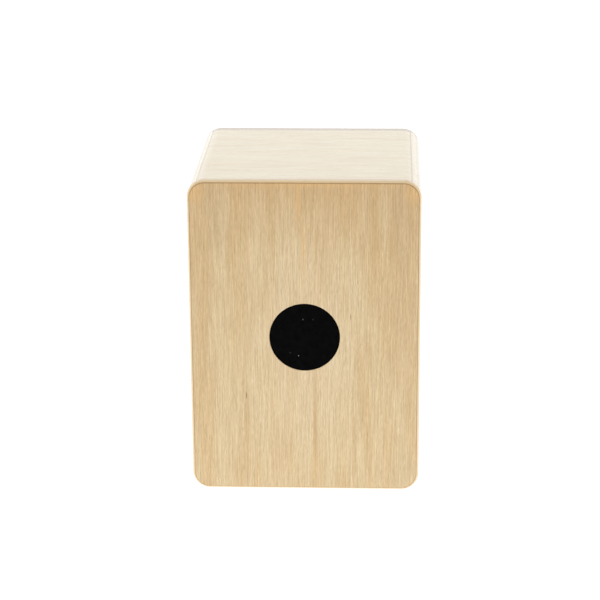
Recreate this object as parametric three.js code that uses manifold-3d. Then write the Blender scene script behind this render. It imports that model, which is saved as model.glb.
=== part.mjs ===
// Compact cajon: a box drum of lacquered plywood. The thin playing face (tapa) is on +Y and the panel
// with the sound hole on -Y. Four snare strings lie against the back of the tapa. They hang from a
// batten under the seat, and a screw through the base pulls each pair tight.
// Millimetres, +Z up. The origin is on the floor, under the middle of the box.
import * as THREE from 'three';
import { mergeVertices } from 'three/addons/utils/BufferGeometryUtils.js';
import Module from 'manifold-3d';

const wasm = await Module();
wasm.setup();

// ---- Driving dimensions ---------------------------------------------------------------------------

const BOX_W = 300; // X, over the side boards
const BOX_D = 285; // Y, over the tapa and the back panel
const BOX_H = 425; // Z, without the feet
const BOARD_T = 12; // side, seat and base boards
const TAPA_T = 3;
const PANEL_T = 6;
const CORNER_R = 23; // outer rounding of the four long corners
const PANEL_EDGE_R = 3; // round-over of the back panel's outer edge
const TAPA_EDGE_R = 1;
const CORNER_BLOCK_LEG = 18;
const CORNER_BLOCK_GAP = 12; // from the block's end to the tapa

const HOLE_R = 46;
const HOLE_RISE = 2; // the hole's centre lies this far above the middle of the panel
const HOOP_R = 45.7;
const HOOP_BORE_R = 41;
const HOOP_FLANGE_R = 54;
const HOOP_FLANGE_T = 3;
const CLOTH_R = 45.6;
const CLOTH_T = 0.8;
const CLOTH_RECESS = 0.2; // behind the panel's face

const FOOT_H = 12;
const FOOT_R = 15; // at the board
const FOOT_SOLE_R = 13.5;
const FOOT_INSET = 50; // from each side of the box to the foot's axis
const FOOT_WELL_R = 6.5; // the well for the screw's head, open at the sole
const FOOT_WELL_DEPTH = 7;

const TAPA_SCREW = { headR: 3.5, headH: 2.2, shankR: 1.75, length: 20, sunk: 0.2 };
const TAPA_SCREW_FROM_END = 35; // from the box's top and base to the first screw of a side
const TAPA_SCREWS_PER_SIDE = 4;
const WOOD_SCREW = { headR: 4, headH: 2.4, shankR: 2 };
const PILOT_GAP = 0.3; // between a screw's shank and its hole, and past its tip

const STRING_R = 0.45;
const STRING_TO_TAPA = 0.75; // from the string's axis to the tapa
const STRING_PITCH = 12; // between the two strings of a pair
const PAIR_TOP_X = 34; // middle of a pair at the batten
const PAIR_LOW_X = 62; // and at the anchor
const BALL_R = 1.9;
const BALL_LENGTH = 3.2;
const POCKET_R = 2.5;
const POCKET_DEPTH = 4.1;
const GROOVE_W = 2.8;
const GROOVE_DEPTH = 1.6;
const TOUCH_GAP = 0.3; // between pieces that touch on the real drum

const BATTEN_W = 200;
const BATTEN_D = 18;
const BATTEN_H = 18;
const BATTEN_SCREW_X = 80;
const BATTEN_SCREW_GRIP = 8; // length in the seat board
const DAMPER = { w: 24, d: 9, h: 14 };

const ANCHOR = { w: 30, d: 20, h: 10 };
const ANCHOR_REST_RISE = 30; // underside of the slack anchor above the base board
const GUIDE = { w: 48, d: 25, h: 44, floor: 10 };
const GUIDE_CLEARANCE = 0.15;
const M6 = { shankR: 3, boreR: 3.1, headR: 5.25, headH: 3.3, keyAcross: 4, keyDepth: 2.2 };
const M6_LENGTH = 55;
const WASHER = { r: 7.5, boreR: 3.2, t: 1.6 };

// ---- Derived places -------------------------------------------------------------------------------

const BASE_Z = FOOT_H;
const SEAT_Z = FOOT_H + BOX_H;
const FRONT_Y = BOX_D / 2; // outer face of the tapa
const BACK_Y = -BOX_D / 2; // outer face of the back panel
const TAPA_Y = FRONT_Y - TAPA_T; // where the boards end and the tapa starts
const PANEL_Y = BACK_Y + PANEL_T;
const INNER_X = BOX_W / 2 - BOARD_T;
const INNER_BASE_Z = BASE_Z + BOARD_T;
const INNER_SEAT_Z = SEAT_Z - BOARD_T;
const HOLE_Z = BASE_Z + BOX_H / 2 + HOLE_RISE;
const CORNER_X = BOX_W / 2 - CORNER_R;
// The joint between two boards meets the rounding at this angle from the horizontal.
const JOINT_ANGLE = Math.acos((CORNER_R - BOARD_T) / CORNER_R);
const JOINT_Z = CORNER_R * Math.sin(JOINT_ANGLE);

const FOOT_SCREW_TIP_Z = INNER_BASE_Z - 2;

const STRING_Y = TAPA_Y - STRING_TO_TAPA;
const BATTEN_Z = INNER_SEAT_Z - BATTEN_H;
const BATTEN_MID_Y = TAPA_Y - BATTEN_D / 2;
const BATTEN_SCREW_TIP_Z = INNER_SEAT_Z + BATTEN_SCREW_GRIP;
const TOP_BALL_Z = BATTEN_Z + BATTEN_H / 2;
const ANCHOR_Z = INNER_BASE_Z + ANCHOR_REST_RISE;
const LOW_BALL_Z = ANCHOR_Z + ANCHOR.h / 2;
const ANCHOR_FRONT_Y = TAPA_Y - TOUCH_GAP; // the guide's front too
const SCREW_Y = ANCHOR_FRONT_Y - ANCHOR.d / 2;

const SIDES = [['left', -1], ['right', 1]];

const ARC_SEGMENTS = 5; // per quarter of a board's rounding, doubled by three.js on an arc
const HOLE_SEGMENTS = 64;
const ROUND_SEGMENTS = 24;
const SCREW_SEGMENTS = 12;

// ---- Materials ------------------------------------------------------------------------------------

const finish = (color, roughness, metalness = 0) => () =>
  new THREE.MeshStandardMaterial({ color, roughness, metalness });
const plywood = finish(0xdcc598, 0.35);
const seatPlywood = finish(0xeadfc4, 0.3);
const pine = finish(0xd9bd8c, 0.7);
const hardwood = finish(0xc79a62, 0.6);
const blackPlastic = finish(0x161616, 0.5);
const blackCloth = finish(0x0c0c0c, 0.95);
const foam = finish(0x3a3a3c, 0.95);
const rubber = finish(0x1b1b1b, 0.8);
const steel = finish(0xb9bcc0, 0.3, 1);
const blackSteel = finish(0x26262a, 0.4, 1);
const brass = finish(0xc9a24e, 0.35, 1);

// ---- Joining and cutting --------------------------------------------------------------------------

function toSolid(geometry) {
  const bare = geometry.clone();
  bare.deleteAttribute('normal');
  bare.deleteAttribute('uv');
  const merged = mergeVertices(bare);
  const corners = merged.index.array;
  const triangles = [];
  for (let i = 0; i < corners.length; i += 3) {
    const [a, b, c] = corners.slice(i, i + 3);
    if (a !== b && b !== c && c !== a) triangles.push(a, b, c);
  }
  const vertProperties = merged.attributes.position.array;
  return new wasm.Manifold(
    new wasm.Mesh({ numProp: 3, vertProperties, triVerts: Uint32Array.from(triangles) }),
  );
}

function toGeometry(solid) {
  const { vertProperties, triVerts } = solid.getMesh();
  const geometry = new THREE.BufferGeometry();
  geometry.setAttribute('position', new THREE.BufferAttribute(vertProperties, 3));
  geometry.setIndex(new THREE.BufferAttribute(triVerts, 1));
  geometry.computeVertexNormals();
  return geometry;
}

function cut(geometry, tools) {
  let solid = toSolid(geometry);
  for (const tool of tools) solid = solid.subtract(toSolid(tool));
  return toGeometry(solid);
}

// ---- Plain shapes ---------------------------------------------------------------------------------

// A box between two corners.
function block([x0, y0, z0], [x1, y1, z1]) {
  const geometry = new THREE.BoxGeometry(x1 - x0, y1 - y0, z1 - z0);
  return geometry.translate((x0 + x1) / 2, (y0 + y1) / 2, (z0 + z1) / 2);
}

// An outline in X and Z, extruded along Y.
function slab(outline, y0, y1) {
  const geometry = new THREE.ExtrudeGeometry(outline, {
    depth: y1 - y0,
    bevelEnabled: false,
    curveSegments: ARC_SEGMENTS,
  });
  return geometry.rotateX(Math.PI / 2).translate(0, y1, 0);
}

function rodAlongY(r, x, z, y0, y1, segments = SCREW_SEGMENTS) {
  return new THREE.CylinderGeometry(r, r, y1 - y0, segments).translate(x, (y0 + y1) / 2, z);
}

function rodAlongZ(r, x, y, z0, z1, segments = ROUND_SEGMENTS) {
  const geometry = new THREE.CylinderGeometry(r, r, z1 - z0, segments);
  return geometry.rotateX(Math.PI / 2).translate(x, y, (z0 + z1) / 2);
}

// A profile of [radius, height] pairs turned about Z. A solid profile starts and ends on the axis, and
// a ring's profile closes on itself.
function turned(profile, x, y, segments = ROUND_SEGMENTS) {
  const points = profile.map(([r, z]) => new THREE.Vector2(r, z));
  return new THREE.LatheGeometry(points, segments).rotateX(Math.PI / 2).translate(x, y, 0);
}

// A round-head wood screw that points up, with its head just below shoulderZ.
function woodScrew(x, y, shoulderZ, tipZ) {
  const { headR, headH, shankR } = WOOD_SCREW;
  return turned([
    [0, shoulderZ - headH],
    [0.6 * headR, shoulderZ - headH],
    [headR, shoulderZ - 0.4 * headH],
    [headR, shoulderZ],
    [shankR, shoulderZ],
    [shankR, tipZ - 2 * shankR],
    [0, tipZ],
  ], x, y, SCREW_SEGMENTS);
}

function mesh(name, geometry, material) {
  const part = new THREE.Mesh(geometry, material());
  part.name = name;
  return part;
}

// ---- Box ------------------------------------------------------------------------------------------

// The outline of a side board: straight inside, with both outer corners rounded.
function sideOutline(side) {
  const arc = (z, from, to) => {
    const angle = (a) => (side > 0 ? a : Math.PI - a);
    outline.absarc(side * CORNER_X, z, CORNER_R, angle(from), angle(to), side > 0);
  };
  const outline = new THREE.Shape();
  outline.moveTo(side * INNER_X, SEAT_Z - CORNER_R + JOINT_Z);
  arc(SEAT_Z - CORNER_R, JOINT_ANGLE, 0);
  arc(BASE_Z + CORNER_R, 0, -JOINT_ANGLE);
  outline.closePath();
  return outline;
}

// The outline of the seat board (up = 1) or the base board (up = -1), which lies between the sides.
function levelOutline(up) {
  const outerZ = up > 0 ? SEAT_Z : BASE_Z;
  const arcZ = outerZ - up * CORNER_R;
  const outline = new THREE.Shape();
  outline.moveTo(-INNER_X, outerZ - up * BOARD_T);
  outline.lineTo(INNER_X, outerZ - up * BOARD_T);
  outline.absarc(CORNER_X, arcZ, CORNER_R, up * JOINT_ANGLE, (up * Math.PI) / 2, up < 0);
  outline.absarc(-CORNER_X, arcZ, CORNER_R, (up * Math.PI) / 2, up * (Math.PI - JOINT_ANGLE), up < 0);
  outline.closePath();
  return outline;
}

// The whole outline of the box, with four rounded corners.
function boxOutline() {
  const outline = new THREE.Shape();
  const quarter = Math.PI / 2;
  const low = BASE_Z + CORNER_R;
  const high = SEAT_Z - CORNER_R;
  outline.absarc(CORNER_X, low, CORNER_R, -quarter, 0, false);
  outline.absarc(CORNER_X, high, CORNER_R, 0, quarter, false);
  outline.absarc(-CORNER_X, high, CORNER_R, quarter, 2 * quarter, false);
  outline.absarc(-CORNER_X, low, CORNER_R, 2 * quarter, 3 * quarter, false);
  outline.closePath();
  return outline;
}

// A panel with the box's outline between y0 and y1. Its outer edge, at y1, is rounded over.
function roundedPanel(y0, y1, edgeR, segments) {
  const geometry = new THREE.ExtrudeGeometry(boxOutline(), {
    depth: y1 - y0,
    bevelThickness: edgeR,
    bevelSize: edgeR,
    bevelOffset: -edgeR,
    bevelSegments: segments,
    curveSegments: ARC_SEGMENTS,
  });
  geometry.rotateX(Math.PI / 2).translate(0, y1 - edgeR, 0);
  // The geometry's inner bevel lies below y0 and is cut off.
  return cut(geometry, [block([-BOX_W, y0 - 3 * edgeR, 0], [BOX_W, y0, SEAT_Z + BOARD_T])]);
}

function tapaScrewPlaces() {
  const places = [];
  const pitch = (BOX_H - 2 * TAPA_SCREW_FROM_END) / (TAPA_SCREWS_PER_SIDE - 1);
  for (const side of [-1, 1]) {
    for (let i = 0; i < TAPA_SCREWS_PER_SIDE; i += 1) {
      places.push([side * (BOX_W - BOARD_T) / 2, BASE_Z + TAPA_SCREW_FROM_END + i * pitch]);
    }
    const x = (side * (BOX_W - BOARD_T)) / 6; // thirds of the way between the corners
    places.push([x, BASE_Z + BOARD_T / 2], [x, SEAT_Z - BOARD_T / 2]);
  }
  return places;
}

function footPlaces() {
  const x = BOX_W / 2 - FOOT_INSET;
  const y = BOX_D / 2 - FOOT_INSET;
  return { back_left: [-x, -y], back_right: [x, -y], front_left: [-x, y], front_right: [x, y] };
}

function boards() {
  const tapaPilots = tapaScrewPlaces().map(([x, z]) =>
    rodAlongY(TAPA_SCREW.shankR + PILOT_GAP, x, z, TAPA_Y - TAPA_SCREW.length, FRONT_Y));
  const woodPilot = (x, y, z0, z1) =>
    rodAlongZ(WOOD_SCREW.shankR + PILOT_GAP, x, y, z0, z1 + PILOT_GAP, SCREW_SEGMENTS);
  const footPilots = Object.values(footPlaces()).map(([x, y]) => woodPilot(x, y, 0, FOOT_SCREW_TIP_Z));
  const battenPilots = SIDES.map(([, side]) =>
    woodPilot(side * BATTEN_SCREW_X, BATTEN_MID_Y, BATTEN_Z, BATTEN_SCREW_TIP_Z));
  const tensionHoles = SIDES.map(([, side]) =>
    rodAlongZ(M6.boreR, side * PAIR_LOW_X, SCREW_Y, 0, INNER_BASE_Z + 1));
  const board = (name, outline, tools, material = plywood) =>
    mesh(name, cut(slab(outline, PANEL_Y, TAPA_Y), [...tapaPilots, ...tools]), material);
  return [
    board('left_side_board', sideOutline(-1), []),
    board('right_side_board', sideOutline(1), []),
    board('seat_board', levelOutline(1), battenPilots, seatPlywood),
    board('base_board', levelOutline(-1), [...tensionHoles, ...footPilots]),
  ];
}

function cornerBlocks() {
  const blocks = [];
  for (const [level, up, z] of [['seat', 1, INNER_SEAT_Z], ['base', -1, INNER_BASE_Z]]) {
    for (const [hand, side] of SIDES) {
      const outline = new THREE.Shape();
      outline.moveTo(side * INNER_X, z);
      outline.lineTo(side * (INNER_X - CORNER_BLOCK_LEG), z);
      outline.lineTo(side * INNER_X, z - up * CORNER_BLOCK_LEG);
      outline.closePath();
      const geometry = slab(outline, PANEL_Y, TAPA_Y - CORNER_BLOCK_GAP);
      blocks.push(mesh(`corner_block_${level}_${hand}`, geometry, pine));
    }
  }
  return blocks;
}

function backPanel() {
  const hole = rodAlongY(HOLE_R, 0, HOLE_Z, -1, PANEL_T + 1, HOLE_SEGMENTS);
  const geometry = cut(roundedPanel(0, PANEL_T, PANEL_EDGE_R, 3), [hole]);
  // The panel is made facing +Y, and turned round so that its rounded edge faces -Y.
  return mesh('back_panel', geometry.rotateZ(Math.PI).translate(0, PANEL_Y, 0), plywood);
}

function tapa() {
  const seats = tapaScrewPlaces().flatMap(([x, z]) => {
    const { headR, headH, shankR } = TAPA_SCREW;
    const cone = new THREE.CylinderGeometry(headR + 2 * PILOT_GAP, shankR + PILOT_GAP, headH + PILOT_GAP,
      SCREW_SEGMENTS);
    cone.translate(x, FRONT_Y - (headH + PILOT_GAP) / 2, z);
    return [cone, rodAlongY(shankR + PILOT_GAP, x, z, TAPA_Y - 1, FRONT_Y)];
  });
  return mesh('tapa', cut(roundedPanel(TAPA_Y, FRONT_Y, TAPA_EDGE_R, 2), seats), plywood);
}

// A countersunk wood screw with a cross slot, its axis along Y and its head at the tapa's face.
function tapaScrews() {
  const { headR, headH, shankR, length, sunk } = TAPA_SCREW;
  const top = FRONT_Y - sunk;
  const tipLength = 2 * shankR;
  const profile = [
    [0, top - length],
    [shankR, top - length + tipLength],
    [shankR, top - headH],
    [headR, top],
    [0, top],
  ].map(([r, y]) => new THREE.Vector2(r, y));
  const slotHalfW = 0.5;
  const slotHalfL = 0.6 * headR;
  const slots = [[slotHalfL, slotHalfW], [slotHalfW, slotHalfL]].map(([hx, hz]) =>
    block([-hx, top - 0.6 * headH, -hz], [hx, FRONT_Y, hz]));
  const screw = cut(new THREE.LatheGeometry(profile, SCREW_SEGMENTS), slots);
  return tapaScrewPlaces().map(([x, z], i) => {
    const name = `tapa_screw_${String(i + 1).padStart(2, '0')}`;
    return mesh(name, screw.clone().translate(x, 0, z), blackSteel);
  });
}

// ---- Sound hole -----------------------------------------------------------------------------------

// A hoop glued into the hole from inside, with acoustic cloth stretched over its front.
function soundHole() {
  const clothY = BACK_Y + CLOTH_RECESS;
  const hoopY = clothY + CLOTH_T;
  const toAxisY = (profile) => profile.map(([r, y]) => new THREE.Vector2(r, y));
  const hoop = new THREE.LatheGeometry(toAxisY([
    [HOOP_BORE_R, hoopY],
    [HOOP_R, hoopY],
    [HOOP_R, PANEL_Y],
    [HOOP_FLANGE_R, PANEL_Y],
    [HOOP_FLANGE_R, PANEL_Y + HOOP_FLANGE_T],
    [HOOP_BORE_R, PANEL_Y + HOOP_FLANGE_T],
    [HOOP_BORE_R, hoopY],
  ]), HOLE_SEGMENTS);
  const cloth = rodAlongY(CLOTH_R, 0, HOLE_Z, clothY, hoopY, HOLE_SEGMENTS);
  return [
    mesh('hole_hoop', hoop.translate(0, 0, HOLE_Z), blackPlastic),
    mesh('hole_cloth', cloth, blackCloth),
  ];
}

// ---- Snare strings --------------------------------------------------------------------------------

const PAIR_STRINGS = [['outer', 0.5], ['inner', -0.5]];

// Each string's place: its x at the batten's ball end and at the anchor's.
function stringPlaces() {
  return SIDES.flatMap(([hand, side]) => PAIR_STRINGS.map(([place, offset]) => ({
    name: `${hand}_${place}`,
    topX: side * (PAIR_TOP_X + offset * STRING_PITCH),
    lowX: side * (PAIR_LOW_X + offset * STRING_PITCH),
  })));
}

// The groove and the ball end's pocket that a string needs in the face at frontY. Both run past it.
function stringSeat(x, ballZ, frontY, grooveZ) {
  const past = frontY + 1;
  const [z0, z1] = grooveZ;
  const groove = block([x - GROOVE_W / 2, STRING_Y - GROOVE_DEPTH / 2, z0], [x + GROOVE_W / 2, past, z1]);
  return [groove, rodAlongY(POCKET_R, x, ballZ, frontY - POCKET_DEPTH, past, ROUND_SEGMENTS / 2)];
}

function stringBatten() {
  const seats = stringPlaces().flatMap(({ topX }) =>
    stringSeat(topX, TOP_BALL_Z, TAPA_Y, [BATTEN_Z - 1, TOP_BALL_Z]));
  const screwHole = (side, r, z1) =>
    rodAlongZ(r + PILOT_GAP, side * BATTEN_SCREW_X, BATTEN_MID_Y, BATTEN_Z - 1, z1, SCREW_SEGMENTS);
  const screwHoles = SIDES.flatMap(([, side]) => [
    screwHole(side, WOOD_SCREW.shankR, INNER_SEAT_Z + 1),
    screwHole(side, WOOD_SCREW.headR, BATTEN_Z + BATTEN_H / 2),
  ]);
  const body = block(
    [-BATTEN_W / 2, TAPA_Y - BATTEN_D, BATTEN_Z],
    [BATTEN_W / 2, TAPA_Y, INNER_SEAT_Z],
  );
  return mesh('string_batten', cut(body, [...seats, ...screwHoles]), hardwood);
}

function battenScrews() {
  return SIDES.map(([hand, side]) => {
    const shoulderZ = BATTEN_Z + BATTEN_H / 2;
    const screw = woodScrew(side * BATTEN_SCREW_X, BATTEN_MID_Y, shoulderZ, BATTEN_SCREW_TIP_Z);
    return mesh(`batten_screw_${hand}`, screw, steel);
  });
}

// Foam glued under the batten, just behind each pair, which stops the strings' upper ends from ringing.
function damperFoams() {
  const front = STRING_Y - STRING_R - TOUCH_GAP;
  return SIDES.map(([hand, side]) => {
    const x = side * (PAIR_TOP_X + 1);
    const low = [x - DAMPER.w / 2, front - DAMPER.d, BATTEN_Z - DAMPER.h];
    return mesh(`damper_foam_${hand}`, block(low, [x + DAMPER.w / 2, front, BATTEN_Z]), foam);
  });
}

function strings() {
  return stringPlaces().map(({ name, topX, lowX }) => {
    const top = new THREE.Vector3(topX, STRING_Y, TOP_BALL_Z);
    const low = new THREE.Vector3(lowX, STRING_Y, LOW_BALL_Z);
    const along = top.clone().sub(low).normalize();
    const length = top.distanceTo(low) - 2 * (BALL_R + TOUCH_GAP);
    const wire = mesh(`string_${name}`, new THREE.CylinderGeometry(STRING_R, STRING_R, length, 8), steel);
    wire.position.copy(top).add(low).multiplyScalar(0.5);
    wire.quaternion.setFromUnitVectors(new THREE.Vector3(0, 1, 0), along);
    return wire;
  });
}

function ballEnds() {
  return stringPlaces().flatMap(({ name, topX, lowX }) =>
    [['top', topX, TOP_BALL_Z], ['low', lowX, LOW_BALL_Z]].map(([end, x, z]) => {
      const y1 = TAPA_Y - 2 * TOUCH_GAP;
      const barrel = rodAlongY(BALL_R, x, z, y1 - BALL_LENGTH, y1, SCREW_SEGMENTS);
      return mesh(`ball_end_${end}_${name}`, barrel, brass);
    }));
}

// ---- String tensioners ----------------------------------------------------------------------------

// A bar that holds a pair's lower ends. The tension screw pulls it down inside its guide.
function stringAnchor(hand, side) {
  const x = side * PAIR_LOW_X;
  const low = [x - ANCHOR.w / 2, ANCHOR_FRONT_Y - ANCHOR.d, ANCHOR_Z];
  const body = block(low, [x + ANCHOR.w / 2, ANCHOR_FRONT_Y, ANCHOR_Z + ANCHOR.h]);
  const seats = stringPlaces().filter(({ name }) => name.startsWith(hand)).flatMap(({ lowX }) =>
    stringSeat(lowX, LOW_BALL_Z, ANCHOR_FRONT_Y, [LOW_BALL_Z, ANCHOR_Z + ANCHOR.h + 1]));
  const bore = rodAlongZ(M6.boreR, x, SCREW_Y, ANCHOR_Z - 1, ANCHOR_Z + ANCHOR.h + 1);
  return mesh(`string_anchor_${hand}`, cut(body, [...seats, bore]), brass);
}

// A channel on the base board, open towards the tapa and at the top, that keeps the anchor from turning.
function anchorGuide(hand, side) {
  const x = side * PAIR_LOW_X;
  const body = block(
    [x - GUIDE.w / 2, ANCHOR_FRONT_Y - GUIDE.d, INNER_BASE_Z],
    [x + GUIDE.w / 2, ANCHOR_FRONT_Y, INNER_BASE_Z + GUIDE.h],
  );
  const halfChannel = ANCHOR.w / 2 + GUIDE_CLEARANCE;
  const channel = block(
    [x - halfChannel, ANCHOR_FRONT_Y - ANCHOR.d - GUIDE_CLEARANCE, INNER_BASE_Z + GUIDE.floor],
    [x + halfChannel, ANCHOR_FRONT_Y + 1, INNER_BASE_Z + GUIDE.h + 1],
  );
  const bore = rodAlongZ(M6.boreR, x, SCREW_Y, INNER_BASE_Z - 1, INNER_BASE_Z + GUIDE.floor + 1);
  return mesh(`anchor_guide_${hand}`, cut(body, [channel, bore]), hardwood);
}

// A button-head screw pushed up through the base, with a hex socket in its head.
function tensionScrew(hand, side) {
  const x = side * PAIR_LOW_X;
  const seatZ = BASE_Z - WASHER.t;
  const headZ = seatZ - M6.headH;
  const tipZ = seatZ + M6_LENGTH;
  const body = turned([
    [0, headZ],
    [0.62 * M6.headR, headZ],
    [0.9 * M6.headR, headZ + 0.45 * M6.headH],
    [M6.headR, seatZ],
    [M6.shankR, seatZ],
    [M6.shankR, tipZ - 1],
    [M6.shankR - 1, tipZ],
    [0, tipZ],
  ], x, SCREW_Y);
  const keyR = M6.keyAcross / Math.sqrt(3);
  const socket = rodAlongZ(keyR, x, SCREW_Y, headZ - 1, headZ + M6.keyDepth, 6);
  return mesh(`tension_screw_${hand}`, cut(body, [socket]), blackSteel);
}

function tensionWasher(hand, side) {
  const z0 = BASE_Z - WASHER.t;
  const ring = [[WASHER.boreR, z0], [WASHER.r, z0], [WASHER.r, BASE_Z], [WASHER.boreR, BASE_Z]];
  return mesh(`tension_washer_${hand}`, turned([...ring, ring[0]], side * PAIR_LOW_X, SCREW_Y), steel);
}

// ---- Feet -----------------------------------------------------------------------------------------

function feet() {
  const bore = WOOD_SCREW.shankR + PILOT_GAP;
  return Object.entries(footPlaces()).flatMap(([place, [x, y]]) => [
    mesh(`foot_${place}`, turned([
      [FOOT_WELL_R, 0],
      [FOOT_SOLE_R, 0],
      [FOOT_R, FOOT_H],
      [bore, FOOT_H],
      [bore, FOOT_WELL_DEPTH],
      [FOOT_WELL_R, FOOT_WELL_DEPTH],
      [FOOT_WELL_R, 0],
    ], x, y), rubber),
    mesh(`foot_screw_${place}`, woodScrew(x, y, FOOT_WELL_DEPTH, FOOT_SCREW_TIP_Z), steel),
  ]);
}

// ---- Assembly -------------------------------------------------------------------------------------

const cajon = new THREE.Group();
cajon.add(...boards(), ...cornerBlocks(), backPanel(), tapa(), ...tapaScrews(), ...soundHole());
cajon.add(stringBatten(), ...battenScrews(), ...damperFoams(), ...strings(), ...ballEnds());
for (const [hand, side] of SIDES) {
  cajon.add(stringAnchor(hand, side), anchorGuide(hand, side));
  cajon.add(tensionScrew(hand, side), tensionWasher(hand, side));
}
cajon.add(...feet());

export default cajon;
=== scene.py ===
# Looks of a compact cajon: lacquered plywood, black acoustic cloth, black screws, rubber feet and the
# snare strings inside. Metres, +Z up, sound-hole panel on -Y, playing face (tapa) on +Y.
import math

import bmesh
import bpy
from mathutils import Matrix, Vector, noise


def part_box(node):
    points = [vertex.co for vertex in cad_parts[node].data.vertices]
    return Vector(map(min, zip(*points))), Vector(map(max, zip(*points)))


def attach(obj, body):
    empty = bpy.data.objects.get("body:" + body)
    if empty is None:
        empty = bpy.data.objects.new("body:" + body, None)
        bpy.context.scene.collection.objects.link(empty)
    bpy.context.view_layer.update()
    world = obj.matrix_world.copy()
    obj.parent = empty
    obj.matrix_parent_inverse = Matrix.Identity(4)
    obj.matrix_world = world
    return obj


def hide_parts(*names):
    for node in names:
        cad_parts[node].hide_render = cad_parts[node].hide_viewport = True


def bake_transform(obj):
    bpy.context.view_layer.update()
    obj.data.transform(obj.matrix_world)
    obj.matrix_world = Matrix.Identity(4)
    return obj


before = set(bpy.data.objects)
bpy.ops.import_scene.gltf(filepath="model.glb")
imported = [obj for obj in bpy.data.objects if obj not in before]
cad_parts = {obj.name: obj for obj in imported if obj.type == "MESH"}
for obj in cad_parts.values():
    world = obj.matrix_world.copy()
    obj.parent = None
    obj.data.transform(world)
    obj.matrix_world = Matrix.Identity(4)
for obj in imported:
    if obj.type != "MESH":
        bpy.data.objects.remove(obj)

MM = 0.001
X, Y, Z = 0, 1, 2
HANDS = ("left", "right")
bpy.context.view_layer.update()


def middle(node):
    low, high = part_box(node)
    return (low + high) / 2


# ---- Places from the frame --------------------------------------------------------------------------

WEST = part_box("left_side_board")[0].x
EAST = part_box("right_side_board")[1].x
FLOOR_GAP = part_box("base_board")[0].z
SEAT_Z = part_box("seat_board")[1].z
BACK_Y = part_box("back_panel")[0].y
PANEL_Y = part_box("back_panel")[1].y
TAPA_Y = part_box("tapa")[0].y
FRONT_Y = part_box("tapa")[1].y
BOARD_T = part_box("left_side_board")[1].x - WEST
INNER_X = EAST - BOARD_T
HOLE = middle("hole_cloth")
HOLE_R = 46 * MM
CORNER_R = 23 * MM
PANEL_EDGE_R = 4.6 * MM
TAPA_EDGE_R = 1 * MM
VENEER = 0.35 * MM
BOARD_PLIES = 7  # between a board's two veneers
PLY_T = (BOARD_T - 2 * VENEER) / BOARD_PLIES
PANEL_PLY_T = PANEL_Y - BACK_Y - 2 * VENEER
TAPA_PLY_T = FRONT_Y - TAPA_Y - 2 * VENEER


# ---- Camera, light and floor ------------------------------------------------------------------------

CAMERA_PLACE = (0.1069, -2.6653, 1.1147)
CAMERA_YAW = math.radians(2.556)
CAMERA_DOWN = math.radians(18.335)
CAMERA_ROLL = math.radians(-0.382)
CAMERA_LENS = 123.35


def add_camera():
    data = bpy.data.cameras.new("camera")
    data.lens = CAMERA_LENS
    data.sensor_width = 36
    camera = bpy.data.objects.new("camera", data)
    turn = Matrix.Rotation(CAMERA_YAW, 4, "Z") @ Matrix.Rotation(math.pi / 2 - CAMERA_DOWN, 4, "X")
    camera.matrix_world = Matrix.Translation(CAMERA_PLACE) @ turn @ Matrix.Rotation(CAMERA_ROLL, 4, "Z")
    bpy.context.scene.collection.objects.link(camera)
    bpy.context.scene.camera = camera


class Nodes:
    """A node tree with short calls for the few nodes that the materials use."""

    def __init__(self, tree):
        self.tree = tree

    def add(self, kind, inputs=(), **settings):
        node = self.tree.nodes.new(kind)
        for key, value in settings.items():
            setattr(node, key, value)
        for key, value in dict(inputs).items():
            self.feed(node.inputs[key], value)
        return node

    def feed(self, socket, value):
        if isinstance(value, bpy.types.NodeSocket):
            self.tree.links.new(value, socket)
        elif value is not None:
            socket.default_value = value

    def math(self, operation, a, b=None, c=None):
        return self.add("ShaderNodeMath", {0: a, 1: b, 2: c}, operation=operation).outputs[0]

    def vector(self, x, y, z):
        return self.add("ShaderNodeCombineXYZ", {0: x, 1: y, 2: z}).outputs[0]

    def split(self, vector):
        return self.add("ShaderNodeSeparateXYZ", {0: vector}).outputs

    def span(self, value, from_low, from_high, to_low=0.0, to_high=1.0, smooth=False):
        inputs = {0: value, 1: from_low, 2: from_high, 3: to_low, 4: to_high}
        kind = "SMOOTHSTEP" if smooth else "LINEAR"
        return self.add("ShaderNodeMapRange", inputs, interpolation_type=kind).outputs[0]

    def blend(self, factor, a, b):
        """From a to b, two numbers."""
        return self.add("ShaderNodeMix", {0: factor, 2: a, 3: b}, data_type="FLOAT").outputs[0]

    def tint(self, factor, a, b):
        """From a to b, two colours."""
        return self.add("ShaderNodeMix", {0: factor, 6: a, 7: b}, data_type="RGBA").outputs[2]

    def scaled(self, vector, factors):
        inputs = {0: vector, 1: factors}
        return self.add("ShaderNodeVectorMath", inputs, operation="MULTIPLY").outputs[0]

    def dimmed(self, color, factor):
        inputs = {0: color, 3: factor}
        return self.add("ShaderNodeVectorMath", inputs, operation="SCALE").outputs[0]

    def noise(self, vector, detail=2.0, roughness=0.5):
        inputs = {"Vector": vector, "Scale": 1.0, "Detail": detail, "Roughness": roughness}
        return self.add("ShaderNodeTexNoise", inputs).outputs["Fac"]

    def place(self):
        return self.add("ShaderNodeTexCoord").outputs["Object"]

    def spot(self, place, centre, half):
        """1 at centre, falling to 0 at half's distance along each axis."""
        away = self.add("ShaderNodeVectorMath", {0: place, 1: centre}, operation="SUBTRACT").outputs[0]
        unit = self.scaled(away, [1 / h for h in half])
        distance = self.add("ShaderNodeVectorMath", {0: unit}, operation="LENGTH").outputs["Value"]
        return self.span(distance, 1.0, 0.0, smooth=True)


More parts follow.
